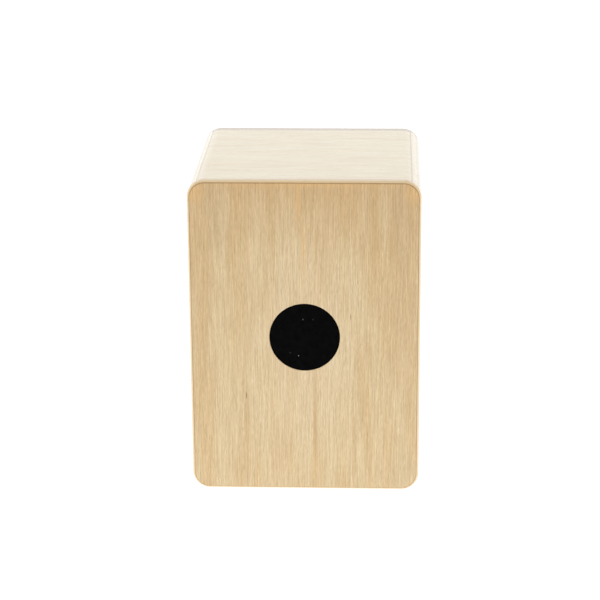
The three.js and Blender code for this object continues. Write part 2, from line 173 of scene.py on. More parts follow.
def new_material(name, roughness=0.5, metallic=0.0, **uniform):
    """A material, its nodes and its shader. Values that are the same all over go on the shader itself."""
    material = bpy.data.materials.new(name)
    material.use_nodes = True
    nodes = Nodes(material.node_tree)
    shader = material.node_tree.nodes["Principled BSDF"]
    shader.inputs["Roughness"].default_value = roughness
    shader.inputs["Metallic"].default_value = metallic
    for key, value in uniform.items():
        shader.inputs[key.replace("_", " ").title().replace("Ior", "IOR")].default_value = value
    return material, nodes, shader


def surface(nodes, shader, color, rough, height, bump_strength, bump_depth):
    """Gives the shader its colour, its roughness, unless that is None, and its bump."""
    nodes.feed(shader.inputs["Base Color"], color)
    nodes.feed(shader.inputs["Roughness"], rough)
    inputs = {"Strength": bump_strength, "Distance": bump_depth, "Height": height}
    nodes.feed(shader.inputs["Normal"], nodes.add("ShaderNodeBump", inputs).outputs[0])


FLOOR_HALF = 9.0
FLOOR_NEAR = 1.72  # light given by the floor beside the drum
FLOOR_FAR = 1.3
FLOOR_BEHIND = 1.15
# The floor's glow under the drum, dimmed as painted shadow of the drum.
FLOOR_SHADED_UNDER = 0.5
FLOOR_FADE = 1.9
MIRRORED = 0.55  # how much of its light the floor in front and nearby shows in reflections
BACKDROP = 1.08  # how bright the floor and the room look to the camera


def seen_as_white(nodes, strength):
    """The same strength as light on the drum, but an even white backdrop for the camera."""
    camera_ray = nodes.add("ShaderNodeLightPath").outputs["Is Camera Ray"]
    return nodes.blend(camera_ray, strength, BACKDROP)


def floor_material():
    """A lit white sweep, brightest in front. From below it lets the camera look through."""
    material = bpy.data.materials.new("floor")
    material.use_nodes = True
    nodes = Nodes(material.node_tree)
    material.node_tree.nodes.remove(material.node_tree.nodes["Principled BSDF"])
    out = material.node_tree.nodes["Material Output"]
    place = nodes.place()
    distance = nodes.add("ShaderNodeVectorMath", {0: place}, operation="LENGTH").outputs["Value"]
    front = nodes.span(distance, 0.1, FLOOR_FADE, FLOOR_NEAR, FLOOR_FAR, smooth=True)
    x, y, _ = nodes.split(place)
    behind = nodes.span(y, -0.1, 0.5, smooth=True)
    beyond_x = nodes.math("SUBTRACT", nodes.math("ABSOLUTE", x), EAST)
    beyond_y = nodes.math("SUBTRACT", nodes.math("ABSOLUTE", y), FRONT_Y)
    # Under the drum the glow is dimmed: painted shadow.
    under = nodes.span(nodes.math("MAXIMUM", beyond_x, beyond_y), 0.0, -0.03, smooth=True)
    glow = nodes.blend(under, nodes.blend(behind, front, FLOOR_BEHIND), FLOOR_SHADED_UNDER)
    in_front = nodes.span(y, -0.08, -0.15, 1.0, MIRRORED, smooth=True)
    nearby = nodes.span(distance, 0.8, 0.4, 1.0, MIRRORED, smooth=True)
    mirrored = nodes.math("MULTIPLY", glow, nodes.math("MINIMUM", in_front, nearby))
    glossy_ray = nodes.add("ShaderNodeLightPath").outputs["Is Glossy Ray"]
    glow = seen_as_white(nodes, nodes.blend(glossy_ray, glow, mirrored))
    emission = nodes.add("ShaderNodeEmission", {"Color": (1, 1, 1, 1), "Strength": glow})
    clear = nodes.add("ShaderNodeBsdfTransparent")
    side = nodes.add("ShaderNodeNewGeometry").outputs["Backfacing"]
    inputs = {0: side, 1: emission.outputs[0], 2: clear.outputs[0]}
    nodes.feed(out.inputs["Surface"], nodes.add("ShaderNodeMixShader", inputs).outputs[0])
    return material


def add_floor():
    h = FLOOR_HALF
    data = bpy.data.meshes.new("floor")
    data.from_pydata([(-h, -h, 0), (h, -h, 0), (h, h, 0), (-h, h, 0)], [], [(0, 1, 2, 3)])
    data.materials.append(floor_material())
    floor = bpy.data.objects.new("floor", data)
    bpy.context.scene.collection.objects.link(floor)


ROOM_LIGHT = 0.97
BACKGROUND_LIGHT = 1.4  # the sweep behind the drum
DARK_WALL = 0.38
DARK_WALL_TOP = 0.86  # sine of the elevation where the dark side of the room ends


def add_world():
    """A white room, brighter behind the drum, with one darker wall on the sound-hole side."""
    world = bpy.data.worlds.new("room")
    world.use_nodes = True
    nodes = Nodes(world.node_tree)
    direction = nodes.split(nodes.add("ShaderNodeTexCoord").outputs["Generated"])
    towards_sweep = nodes.span(direction[Y], 0.1, 0.7, smooth=True)
    below_ceiling = nodes.span(direction[Z], 0.7, 0.4, smooth=True)
    sweep = nodes.math("MULTIPLY", towards_sweep, below_ceiling)
    room = nodes.blend(sweep, ROOM_LIGHT, BACKGROUND_LIGHT)
    towards_wall = nodes.span(direction[Y], -0.15, -0.45, smooth=True)
    low = nodes.span(direction[Z], DARK_WALL_TOP, DARK_WALL_TOP - 0.1, smooth=True)
    above_floor = nodes.span(direction[Z], -0.05, 0.0)
    wall = nodes.math("MULTIPLY", nodes.math("MULTIPLY", towards_wall, low), above_floor)
    strength = seen_as_white(nodes, nodes.blend(wall, room, DARK_WALL))
    background = world.node_tree.nodes["Background"]
    background.inputs["Color"].default_value = (1, 1, 1, 1)
    nodes.feed(background.inputs["Strength"], strength)
    bpy.context.scene.world = world


SOFTBOX_PLACE = Vector((-0.5, -0.3, 2.2))
SOFTBOX_SIZE = (1.6, 1.2)
SOFTBOX_POWER = 2.6


def add_softbox():
    """A weak soft light high on the left, aimed at the drum's foot."""
    data = bpy.data.lights.new("softbox", "AREA")
    data.shape = "RECTANGLE"
    data.size, data.size_y = SOFTBOX_SIZE
    data.energy = SOFTBOX_POWER
    softbox = bpy.data.objects.new("softbox", data)
    softbox.location = SOFTBOX_PLACE
    softbox.rotation_euler = SOFTBOX_PLACE.to_track_quat("Z", "Y").to_euler()
    bpy.context.scene.collection.objects.link(softbox)


add_camera()
add_floor()
add_world()
add_softbox()
bpy.context.scene.view_settings.view_transform = "Standard"


# ---- Wood -------------------------------------------------------------------------------------------

BIRCH = {
    "pale": (0.715, 0.54, 0.295, 1),
    "warm": (0.68, 0.475, 0.23, 1),
    "streak": (0.58, 0.335, 0.12, 1),
    # Core plies, made paler still as painted highlight along the panel's rounded top edge.
    "core": (0.95, 0.75, 0.44, 1),
    "edge": (0.36, 0.24, 0.12, 1),
}
PALE_BIRCH = {
    "pale": (0.618, 0.513, 0.292, 1),
    "warm": (0.600, 0.460, 0.245, 1),
    "streak": (0.56, 0.405, 0.21, 1),
    "core": (0.70, 0.56, 0.36, 1),
    "edge": (0.36, 0.26, 0.14, 1),
}
STREAK = BIRCH["streak"]
FLECK = (0.20, 0.08, 0.022, 1)
AMBER = (0.74, 0.46, 0.18, 1)
CREAM = (0.79, 0.63, 0.41, 1)
# Dark glue lines; under the panel's veneer the line is also painted shade along its rounded top edge.
GLUE = (0.24, 0.085, 0.02, 1)
GLUE_SHOWN = 0.62
GLUE_HALF = 0.30 * MM
CORE_SHOWN = 0.6  # how far the inner plies take the core's colour
# How much each size of fibre lightens and darkens the wood.
HAIR_CONTRAST = 0.30
FINE_CONTRAST = 0.47
MID_CONTRAST = -0.03
CLOUDY_CONTRAST = 0.03
DARKENING = (0.82, 1.12, 1.5)  # dark fibres are warmer too


def streaks(nodes, fibres, width, length, detail=2.0, slippage=2.0):
    """Noise drawn out along the fibres, about 0.5 in the middle. Neighbours slip past each other."""
    along, cross, depth = fibres
    across = nodes.math("MULTIPLY", cross, 1 / width)
    slip = nodes.noise(nodes.vector(nodes.math("MULTIPLY", across, 0.4), 7.3, length * 1000), 1.0)
    run = nodes.math("MULTIPLY_ADD", slip, slippage, nodes.math("MULTIPLY", along, 1 / length))
    return nodes.noise(nodes.vector(across, nodes.math("MULTIPLY", depth, 1 / width), run), detail)


def depth_in_box(nodes, place):
    """How far a point is inside the box's rounded outline, so that the plies bend round its corners."""
    half_height = (SEAT_Z - FLOOR_GAP) / 2
    up = nodes.math("SUBTRACT", place[Z], FLOOR_GAP + half_height)
    beyond_x = nodes.math("SUBTRACT", nodes.math("ABSOLUTE", place[X]), EAST - CORNER_R)
    beyond_z = nodes.math("SUBTRACT", nodes.math("ABSOLUTE", up), half_height - CORNER_R)
    corner = nodes.vector(nodes.math("MAXIMUM", beyond_x, 0.0), nodes.math("MAXIMUM", beyond_z, 0.0), 0.0)
    reach = nodes.add("ShaderNodeVectorMath", {0: corner}, operation="LENGTH").outputs["Value"]
    inward = nodes.math("MINIMUM", nodes.math("MAXIMUM", beyond_x, beyond_z), 0.0)
    return nodes.math("SUBTRACT", nodes.math("SUBTRACT", CORNER_R, reach), inward)


def ply_place(nodes, place, grain, across, depth, ply_t):
    """The depth counted in plies, the ply's number, and the place along, across and through its fibres.
    Every other ply's fibres are turned."""
    count = nodes.math("DIVIDE", nodes.math("ADD", depth, ply_t - VENEER), ply_t)
    ply = nodes.math("FLOOR", count)
    turned = nodes.math("MODULO", ply, 2.0)
    along = nodes.blend(turned, place[grain], place[across])
    cross = nodes.blend(turned, place[across], place[grain])
    cross = nodes.math("ADD", cross, nodes.math("MULTIPLY", ply, 0.37))
    return count, ply, (along, cross, depth)


def swing(nodes, value, amount):
    """Noise as a lightening of up to amount, or a darkening."""
    return nodes.span(value, 0.2, 0.8, -amount, amount)


def grain_color(nodes, fibres, fine, tone, spot, marks):
    """The veneer's colour: broad tints and veins, the marks, then the fibres' light and shade."""
    hair = streaks(nodes, fibres, 0.40 * MM, 8 * MM, 1.0, slippage=9.0)
    mid = streaks(nodes, fibres, 3.2 * MM, 110 * MM)
    broad = streaks(nodes, fibres, 24 * MM, 210 * MM)
    cloudy = streaks(nodes, fibres, 24 * MM, 40 * MM)

    color = nodes.tint(nodes.span(broad, 0.36, 0.66, smooth=True), tone["pale"], tone["warm"])
    vein = nodes.span(mid, 0.58, 0.78, 0.0, 0.22, smooth=True)
    color = nodes.tint(vein, color, tone["streak"])
    for centre, half, strength, mark_color in marks:
        factor = nodes.math("MULTIPLY", nodes.spot(spot, centre, half), strength)
        color = nodes.tint(factor, color, mark_color)

    light = swing(nodes, hair, HAIR_CONTRAST)
    light = nodes.math("ADD", light, swing(nodes, fine, FINE_CONTRAST))
    light = nodes.math("ADD", light, swing(nodes, mid, MID_CONTRAST))
    light = nodes.math("ADD", light, swing(nodes, cloudy, CLOUDY_CONTRAST))
    inputs = {0: DARKENING, 1: light, 2: (1, 1, 1)}
    gain = nodes.add("ShaderNodeVectorMath", inputs, operation="MULTIPLY_ADD").outputs[0]
    return nodes.scaled(color, gain)


def pores_in(nodes, fibres):
    """Short dark pores, thinly scattered."""
    along, cross, depth = fibres
    shifted = (along, nodes.math("ADD", cross, 3.1), depth)
    pores = streaks(nodes, shifted, 0.65 * MM, 4 * MM, 1.0, slippage=9.0)
    return nodes.span(pores, 0.70, 0.77, 0.0, 0.5, smooth=True)


def cut_edge(nodes, depth_axis, outer):
    """1 where the surface is a cut edge of the plies, 0 on a face."""
    normal = nodes.split(nodes.add("ShaderNodeNewGeometry").outputs["Normal"])
    if outer is None:
        return nodes.math("MULTIPLY", normal[Y], normal[Y])
    facing = nodes.math("MULTIPLY", normal[depth_axis], normal[depth_axis])
    return nodes.math("SUBTRACT", 1.0, facing)


def plywood(name, tone, grain, across, depth_axis, outer, ply_t, cut_shade, marks=(), joints=()):
    """Lacquered plywood, solid all through: a thin face veneer, then plies, every other one turned.

    The veneer lies at outer on depth_axis, or all round the box where outer is None. marks are spots on the
    face, (centre, half sizes, strength, colour). joints are planes where a dark line shows, at some seams
    widened into painted shade, (axis, place, width, strength)."""
    material, nodes, shader = new_material(
        name, roughness=0.42, coat_weight=1.0, coat_roughness=0.09, coat_ior=1.5)
    spot = nodes.place()
    place = nodes.split(spot)
    if outer is None:
        depth = depth_in_box(nodes, place)
    else:
        depth = nodes.math("ABSOLUTE", nodes.math("SUBTRACT", place[depth_axis], outer))
    count, ply, fibres = ply_place(nodes, place, grain, across, depth, ply_t)

    fine = streaks(nodes, fibres, 0.44 * MM, 50 * MM, 1.5, slippage=9.0)
    pore = pores_in(nodes, fibres)
    color = grain_color(nodes, fibres, fine, tone, spot, marks)
    color = nodes.tint(pore, color, FLECK)

    # Under the veneer the plies are paler, parted by dark glue lines. Cut edges are darker.
    color = nodes.tint(nodes.span(ply, 0.5, 1.0, 0.0, CORE_SHOWN), color, tone["core"])
    cut = cut_edge(nodes, depth_axis, outer)
    color = nodes.tint(nodes.math("MULTIPLY", cut, cut_shade), color, tone["edge"])
    to_glue = nodes.math("MULTIPLY", nodes.math("PINGPONG", count, 0.5), ply_t)
    color = nodes.tint(nodes.span(to_glue, GLUE_HALF, 0.08 * MM, 0.0, GLUE_SHOWN), color, GLUE)
    # Dark joint lines, widened at some seams into painted shade.
    for axis, at, width, strength in joints:
        off = nodes.math("ABSOLUTE", nodes.math("SUBTRACT", place[axis], at))
        line = nodes.span(off, width, 0.35 * width, 0.0, strength, smooth=True)
        color = nodes.tint(line, color, tone["edge"])

    rough = nodes.span(fine, 0.3, 0.7, 0.48, 0.38)
    rough = nodes.math("ADD", rough, nodes.math("MULTIPLY", cut, 0.12))
    height = nodes.math("SUBTRACT", nodes.math("MULTIPLY", fine, 0.6), nodes.math("MULTIPLY", pore, 1.2))
    surface(nodes, shader, color, rough, height, 0.35, 0.08 * MM)
    return material


def mark(color, across, up, half_width, half_length, strength):
    """A spot on the panel or the tapa: across from its middle and up from its foot, in millimetres."""
    return (across * MM, 0, FLOOR_GAP + up * MM), (half_width * MM, 1.0, half_length * MM), strength, color


# A creamy middle, warm streaks and short dark flecks in the veneers, and amber and darker painted shade
# along the top and at the corners.
PANEL_MARKS = [
    mark(CREAM, 0, 225, 100, 200, 0.42),
    mark(CREAM, 36, 350, 24, 70, 0.16),
    mark(CREAM, -72, 290, 20, 70, 0.14),
    mark(CREAM, -24, 100, 16, 80, 0.22),
    # Painted shade: broad darker patches high on both sides and low on the right.
    mark(FLECK, -116, 385, 26, 110, 0.13),
    mark(FLECK, 124, 372, 26, 120, 0.13),
    mark(FLECK, 122, 22, 26, 50, 0.09),
    # Painted shade: a warmer, darker band over the top of the face, where less light falls.
    mark(STREAK, 0, 430, 260, 130, 0.45),
    mark(STREAK, 132, 270, 34, 240, 0.40),
    mark(STREAK, -142, 290, 26, 230, 0.26),
    # Painted shade: a band under the panel's rounded top edge.
    mark(STREAK, 0, 422, 260, 36, 0.22),
    mark(STREAK, -86, 55, 20, 90, 0.24),
    mark(STREAK, 65, 70, 6, 120, 0.42),
    # Painted shade: amber along the rounded top edge and round the upper corners.
    mark(AMBER, 0, 422, 200, 10, 0.8),
    mark(AMBER, -141, 411, 20, 26, 0.85),
    mark(AMBER, 141, 411, 20, 26, 0.85),
    mark(STREAK, -77, 88, 6, 120, 0.50),
    mark(STREAK, 13, 80, 4, 130, 0.62),
    mark(STREAK, 72, 150, 7, 110, 0.12),
    mark(STREAK, 92, 345, 10, 120, 0.34),
    mark(AMBER, -8, 400, 6, 60, 0.75),
    mark(AMBER, -1, 335, 6, 80, 0.55),
    mark(STREAK, -95, 333, 8, 60, 0.26),
    mark(FLECK, 60, 243, 0.9, 7, 1.0),
    mark(FLECK, -77, 133, 1.0, 8, 1.0),
    mark(FLECK, 75.5, 354, 0.8, 6, 0.45),
    mark(FLECK, 69, 290, 0.7, 5, 0.4),
    mark(FLECK, 20, 276, 0.8, 4, 0.35),
    mark(FLECK, 130, 267, 0.7, 6, 0.35),
    mark(FLECK, 63.5, 70, 0.8, 5, 0.35),
    mark(FLECK, 12, 400, 0.8, 5, 0.4),
    mark(FLECK, 83.5, 287, 0.7, 4, 0.35),
    mark(FLECK, -38, 7, 1.2, 4, 0.35),
    mark(FLECK, 57.5, 371, 0.7, 26, 0.3),
    mark(FLECK, 77.7, 158, 0.7, 11, 0.3),
    mark(FLECK, 73, 205, 0.6, 5, 0.5),
    mark(FLECK, 75, 186, 0.6, 4, 0.4),
    mark(FLECK, 70, 172, 0.6, 6, 0.5),
]
TAPA_MARKS = [
    mark(STREAK, -48, 210, 12, 190, 0.30),
    mark(STREAK, 61, 300, 9, 120, 0.30),
    mark(STREAK, 108, 110, 14, 130, 0.26),
    mark(STREAK, -112, 330, 8, 90, 0.28),
    mark(FLECK, -21, 322, 0.9, 6, 0.6),
    mark(FLECK, 34, 118, 0.8, 5, 0.5),
    mark(FLECK, 88, 236, 0.7, 7, 0.45),
    mark(FLECK, -96, 84, 0.8, 5, 0.4),
]

# Dark joint lines. The wide bands beside the panel and the tapa are painted shade along those seams.
SIDE_SEAMS_AND_SHADE = [(Y, PANEL_Y, 6 * MM, 0.7), (Y, TAPA_Y, 8 * MM, 0.8)]
LEVEL_SEAMS_AND_SHADE = [
    (Y, PANEL_Y, 6 * MM, 0.7),
    (Y, TAPA_Y, 15 * MM, 1.0),
    (X, -INNER_X, 2.4 * MM, 0.7),
    (X, INNER_X, 2.4 * MM, 0.7),
]


def wood_materials():
    """The two faces are warmer birch than the body. The body's plies follow the box's rounded outline."""
    panel = plywood("panel_birch", BIRCH, Z, X, Y, BACK_Y, PANEL_PLY_T, 0.0, marks=PANEL_MARKS)
    tapa = plywood("tapa_birch", BIRCH, Z, X, Y, FRONT_Y, TAPA_PLY_T, 0.95, marks=TAPA_MARKS)
    side = plywood("side_birch", PALE_BIRCH, Z, Y, X, None, PLY_T, 0.5, joints=SIDE_SEAMS_AND_SHADE)
    level = plywood("level_birch", PALE_BIRCH, X, Y, Z, None, PLY_T, 0.5, joints=LEVEL_SEAMS_AND_SHADE)
    return {"panel": panel, "tapa": tapa, "side": side, "level": level}


def solid_wood(name, pale, dark, grain, ring_width):
    """Planed, unfinished solid wood with growth rings and rays."""
    material, nodes, shader = new_material(name, roughness=0.62)
    place = nodes.place()
    stretch = [1 / ring_width] * 3
    stretch[grain] /= 14
    rings = nodes.noise(nodes.scaled(place, stretch), 1.5)
    fibre = nodes.noise(nodes.scaled(place, [s * 7 for s in stretch]), 2.0)
    color = nodes.tint(nodes.span(rings, 0.42, 0.6, smooth=True), pale, dark)
    color = nodes.dimmed(color, nodes.span(fibre, 0.3, 0.7, 0.88, 1.08))
    surface(nodes, shader, color, nodes.span(fibre, 0.3, 0.7, 0.7, 0.55), fibre, 0.4, 0.1 * MM)
    return material


# ---- Cloth, foam, rubber and plastic ----------------------------------------------------------------

WEAVE_PITCH = 0.55 * MM
# Specks of lint in millimetres: place in X and Z, half width, half length, strength.
LINT = [
    (-2, 251, 0.8, 1.3, 0.6),
    (11, 251, 0.6, 1.2, 0.25),
    (-8, 201, 0.9, 1.0, 1.0),
    (-19, 205, 0.6, 0.9, 0.3),
]
LINT_COLOR = (0.40, 0.40, 0.42, 1)


def acoustic_cloth():
    """Black woven cloth with a plain weave and a few pale specks of lint."""
    material, nodes, shader = new_material("acoustic_cloth", roughness=0.92, specular_ior_level=0.05)
    spot = nodes.place()
    place = nodes.split(spot)
    warp = nodes.math("SINE", nodes.math("MULTIPLY", place[X], 2 * math.pi / WEAVE_PITCH))
    weft = nodes.math("SINE", nodes.math("MULTIPLY", place[Z], 2 * math.pi / WEAVE_PITCH))
    weave = nodes.math("MULTIPLY", warp, weft)
    patchy = nodes.noise(nodes.scaled(spot, (150, 150, 150)), 3.0)
    dark, light = (0.0012, 0.0012, 0.0012, 1), (0.0030, 0.0030, 0.0031, 1)
    color = nodes.tint(nodes.span(patchy, 0.3, 0.7), dark, light)
    color = nodes.dimmed(color, nodes.span(weave, -1.0, 1.0, 0.7, 1.3))
    for x, z, half_width, half_length, strength in LINT:
        at = (x * MM, HOLE.y, z * MM)
        lint = nodes.spot(spot, at, (half_width * MM, 9 * MM, half_length * MM))
        color = nodes.tint(nodes.math("MULTIPLY", lint, strength), color, LINT_COLOR)
    surface(nodes, shader, color, nodes.span(weave, -1.0, 1.0, 0.98, 0.86), weave, 0.5, 0.1 * MM)
    return material


def foam_material():
    material, nodes, shader = new_material("open_cell_foam", roughness=0.97)
    cells = nodes.add("ShaderNodeTexVoronoi", {"Vector": nodes.place(), "Scale": 1100.0})
    open_cell = nodes.span(cells.outputs["Distance"], 0.15, 0.6, smooth=True)
    color = nodes.tint(open_cell, (0.012, 0.012, 0.013, 1), (0.085, 0.085, 0.09, 1))
    surface(nodes, shader, color, None, open_cell, 0.8, 0.4 * MM)
    return material


def speckled(name, dark, light, roughness, cell, bump_depth, metallic=0.0):
    """An even, finely textured finish: moulded plastic, rubber, black oxide or zinc."""
    material, nodes, shader = new_material(name, metallic=metallic)
    place = nodes.scaled(nodes.place(), [1 / cell] * 3)
    grit = nodes.noise(place, 3.0, 0.6)
    worn = nodes.noise(nodes.scaled(place, [0.08] * 3), 2.0)
    color = nodes.tint(nodes.span(worn, 0.3, 0.7), dark, light)
    color = nodes.dimmed(color, nodes.span(grit, 0.3, 0.7, 0.88, 1.12))
    rough = nodes.span(grit, 0.3, 0.7, roughness - 0.06, roughness + 0.06)
    surface(nodes, shader, color, rough, grit, 0.5, bump_depth)
    return material


def drawn_steel():
    """Bright music wire with faint lines from drawing."""
    material, nodes, shader = new_material("drawn_steel", metallic=1.0)
    lines = nodes.noise(nodes.scaled(nodes.place(), (9000, 9000, 150)), 2.0)
    color = nodes.tint(nodes.span(lines, 0.3, 0.7), (0.46, 0.46, 0.47, 1), (0.66, 0.66, 0.68, 1))
    surface(nodes, shader, color, nodes.span(lines, 0.3, 0.7, 0.36, 0.24), lines, 0.3, 0.01 * MM)
    return material


def brushed_brass():
    material, nodes, shader = new_material("brushed_brass", metallic=1.0)
    lines = nodes.noise(nodes.scaled(nodes.place(), (300, 300, 6000)), 2.0)
    stain = nodes.noise(nodes.scaled(nodes.place(), (120, 120, 120)), 3.0)
    color = nodes.tint(nodes.span(stain, 0.35, 0.7), (0.72, 0.50, 0.19, 1), (0.52, 0.34, 0.13, 1))
    color = nodes.dimmed(color, nodes.span(lines, 0.3, 0.7, 0.9, 1.08))
    surface(nodes, shader, color, nodes.span(lines, 0.3, 0.7, 0.24, 0.42), lines, 0.3, 0.03 * MM)
    return material


WOOD = wood_materials()
PINE = solid_wood("planed_pine", (0.72, 0.55, 0.33, 1), (0.64, 0.45, 0.24, 1), Y, 3.5 * MM)
BEECH = solid_wood("planed_beech", (0.60, 0.41, 0.23, 1), (0.50, 0.31, 0.15, 1), X, 1.6 * MM)
CLOTH = acoustic_cloth()
FOAM = foam_material()
PLASTIC = speckled("moulded_plastic", (0.010, 0.010, 0.011, 1), (0.015, 0.015, 0.016, 1),
                   roughness=0.5, cell=0.35 * MM, bump_depth=0.03 * MM)
RUBBER = speckled("black_rubber", (0.010, 0.010, 0.010, 1), (0.020, 0.019, 0.019, 1),
                  roughness=0.74, cell=0.30 * MM, bump_depth=0.06 * MM)
OXIDE = speckled("black_oxide", (0.022, 0.022, 0.025, 1), (0.040, 0.040, 0.044, 1),
                 roughness=0.38, cell=0.25 * MM, bump_depth=0.02 * MM, metallic=0.85)
ZINC = speckled("zinc_plate", (0.58, 0.59, 0.61, 1), (0.66, 0.67, 0.69, 1),
                roughness=0.28, cell=0.4 * MM, bump_depth=0.015 * MM, metallic=1.0)
WIRE = drawn_steel()
BRASS = brushed_brass()


# ---- Mesh work --------------------------------------------------------------------------------------

SMOOTH_ANGLE = math.radians(32)


def to_object(name, build, material):
    """An object whose mesh is the bmesh build, with its faces turned out."""
    bmesh.ops.recalc_face_normals(build, faces=build.faces)
    data = bpy.data.meshes.new(name)
    build.to_mesh(data)
    build.free()
    data.materials.append(material)
    piece = bpy.data.objects.new(name, data)
    bpy.context.scene.collection.objects.link(piece)
    return piece


def shade(piece):
    """Smooth, apart from sharp corners, with flat faces kept flat."""
    piece.data.shade_smooth()
    piece.data.set_sharp_from_angle(angle=SMOOTH_ANGLE)
    piece.modifiers.new("flat_faces", "WEIGHTED_NORMAL").keep_sharp = True


def ease(piece, width, segments=2):
    """Softens every sharp edge."""
    bevel = piece.modifiers.new("eased_edges", "BEVEL")
    bevel.width = width
    bevel.segments = segments
    bevel.limit_method = "ANGLE"
    bevel.angle_limit = SMOOTH_ANGLE
    bevel.use_clamp_overlap = True


def settle(piece):
    """Applies the modifiers."""
    graph = bpy.context.evaluated_depsgraph_get()
    data = bpy.data.meshes.new_from_object(piece.evaluated_get(graph))
    data.name = piece.name
    piece.modifiers.clear()
    piece.data = data


def carve(piece, cutter):
    """Cuts cutter out of piece and deletes it."""
    cut = piece.modifiers.new("carve", "BOOLEAN")
    cut.solver = "EXACT"
    cut.object = cutter
    settle(piece)
    bpy.data.objects.remove(cutter)


def add_rings(build, rings, closed, ends=True):
    """Joins rings of points by quads. An open run with ends gets a face at each, unless it is a point."""
    made = [[build.verts.new(p) for p in ring] for ring in rings]
    pairs = list(zip(made, made[1:]))
    if closed:
        pairs.append((made[-1], made[0]))
    for low, high in pairs:
        count = max(len(low), len(high))
        for i in range(count):
            j = (i + 1) % count
            if len(low) == 1:
                build.faces.new((low[0], high[j], high[i]))
            elif len(high) == 1:
                build.faces.new((low[i], low[j], high[0]))
            else:
                build.faces.new((low[i], low[j], high[j], high[i]))
    if ends and not closed:
        for ring in (made[0], made[-1]):
            if len(ring) > 1:
                build.faces.new(ring)


def circle(radius, height, segments, centre=(0, 0)):
    """A ring of points about Z, or one point where it has no radius."""
    x, y = centre
    if radius < 1e-7:
        return [Vector((x, y, height))]
    turn = 2 * math.pi / segments
    return [Vector((x + radius * math.cos(i * turn), y + radius * math.sin(i * turn), height))
            for i in range(segments)]


def lathe(build, profile, segments=40, closed=False):
    """Turns a profile of (radius, height) pairs about Z."""
    add_rings(build, [circle(r, h, segments) for r, h in profile], closed)


def rounded(profile, radius, steps=3):
    """The profile with its inner points rounded, where their sides leave room."""
    points = [Vector(p) for p in profile]
    result = [points[0]]
    for before, corner, after in zip(points, points[1:], points[2:]):
        to_before, to_after = before - corner, after - corner
        reach = min(radius, 0.45 * to_before.length, 0.45 * to_after.length)
        start = corner + to_before.normalized() * reach
        end = corner + to_after.normalized() * reach
        for i in range(steps + 1):
            t = i / steps
            result.append(start.lerp(corner, t).lerp(corner.lerp(end, t), t))
    return result + [points[-1]]


def install(piece, body, slot, *nodes):
    """Puts a finished piece on its body, in place of its CAD nodes."""
    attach(piece, body)
    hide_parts(*nodes)
    return piece


# ---- Box --------------------------------------------------------------------------------------------

STRAIGHT_STEP = 8 * MM
CORNER_STEPS = 14
EASED = 0.35 * MM


def straight(start, end):
    """Points from start up to, but not at, end, about 8 mm apart."""
    count = max(1, round((end - start).length / STRAIGHT_STEP))
    return [start.lerp(end, i / count) for i in range(count)]


def arc(centre, radius, from_angle, to_angle, steps):
    turn = (to_angle - from_angle) / steps
    return [centre + radius * Vector((math.cos(from_angle + i * turn), math.sin(from_angle + i * turn)))
            for i in range(steps + 1)]


def box_outline(inset=0.0):
    """The box's rounded outline in X and Z, that far inside its surface."""
    radius = CORNER_R - inset
    high, low = SEAT_Z - CORNER_R, FLOOR_GAP + CORNER_R
    left, right = WEST + CORNER_R, EAST - CORNER_R
    quarter = math.pi / 2
    centres = [(right, high), (left, high), (left, low), (right, low)]
    points = []
    for i, centre in enumerate(centres):
        corner = arc(Vector(centre), radius, i * quarter, (i + 1) * quarter, CORNER_STEPS)
        if points:
            points += straight(points.pop(), corner[0])
        points += corner
    return points[:-1] + straight(points[-1], points[0])


def at_depth(outline, y):
    return [Vector((p.x, y, p.y)) for p in outline]


def edge_rings(outer_y, inner_y, edge_r, steps):
    """A plate's rings from its face, round its outer edge, to its inner side."""
    into = 1 if inner_y > outer_y else -1
    rings = []
    for i in range(steps + 1):
        angle = math.pi / 2 * i / steps
        inset = edge_r * (1 - math.sin(angle))
        rings.append(at_depth(box_outline(inset), outer_y + into * edge_r * (1 - math.cos(angle))))
    rings.append(at_depth(box_outline(), inner_y - into * EASED))
    rings.append(at_depth(box_outline(EASED), inner_y))
    return rings


def hole_ring(outline, radius, y):
    """A ring round the sound hole, with a point in the direction of each point of the outline."""
    ring = []
    for p in outline:
        away = Vector((p.x - HOLE.x, p.y - HOLE.z)).normalized() * radius
        ring.append(Vector((HOLE.x + away.x, y, HOLE.z + away.y)))
    return ring


def between(ring, other, t):
    return [a.lerp(b, t) for a, b in zip(ring, other)]


def hole_panel():
    """The back panel: rounded over at its outer edge, with a softened sound hole."""
    outline = box_outline()
    rim = 0.4 * MM
    front = hole_ring(outline, HOLE_R + rim, BACK_Y)
    wall = [
        hole_ring(outline, HOLE_R + 0.3 * rim, BACK_Y + 0.3 * rim),
        hole_ring(outline, HOLE_R, BACK_Y + rim),
        hole_ring(outline, HOLE_R, PANEL_Y),
    ]
    outer = edge_rings(BACK_Y, PANEL_Y, PANEL_EDGE_R, 12)
    face = [between(front, outer[0], t) for t in (0.25, 0.5, 0.75)]
    back = [between(outer[-1], wall[-1], 0.5)]
    build = bmesh.new()
    add_rings(build, [front, *face, *outer, *back, *reversed(wall)], closed=True)
    piece = to_object("hole_panel", build, WOOD["panel"])
    shade(piece)
    return install(piece, "box", "panel_plywood", "back_panel")


def tapa_screw_names():
    return sorted(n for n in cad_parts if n.startswith("tapa_screw_"))


SEAT_CONE = {"head_r": 3.75 * MM, "shank_r": 1.9 * MM, "depth": 2.35 * MM}


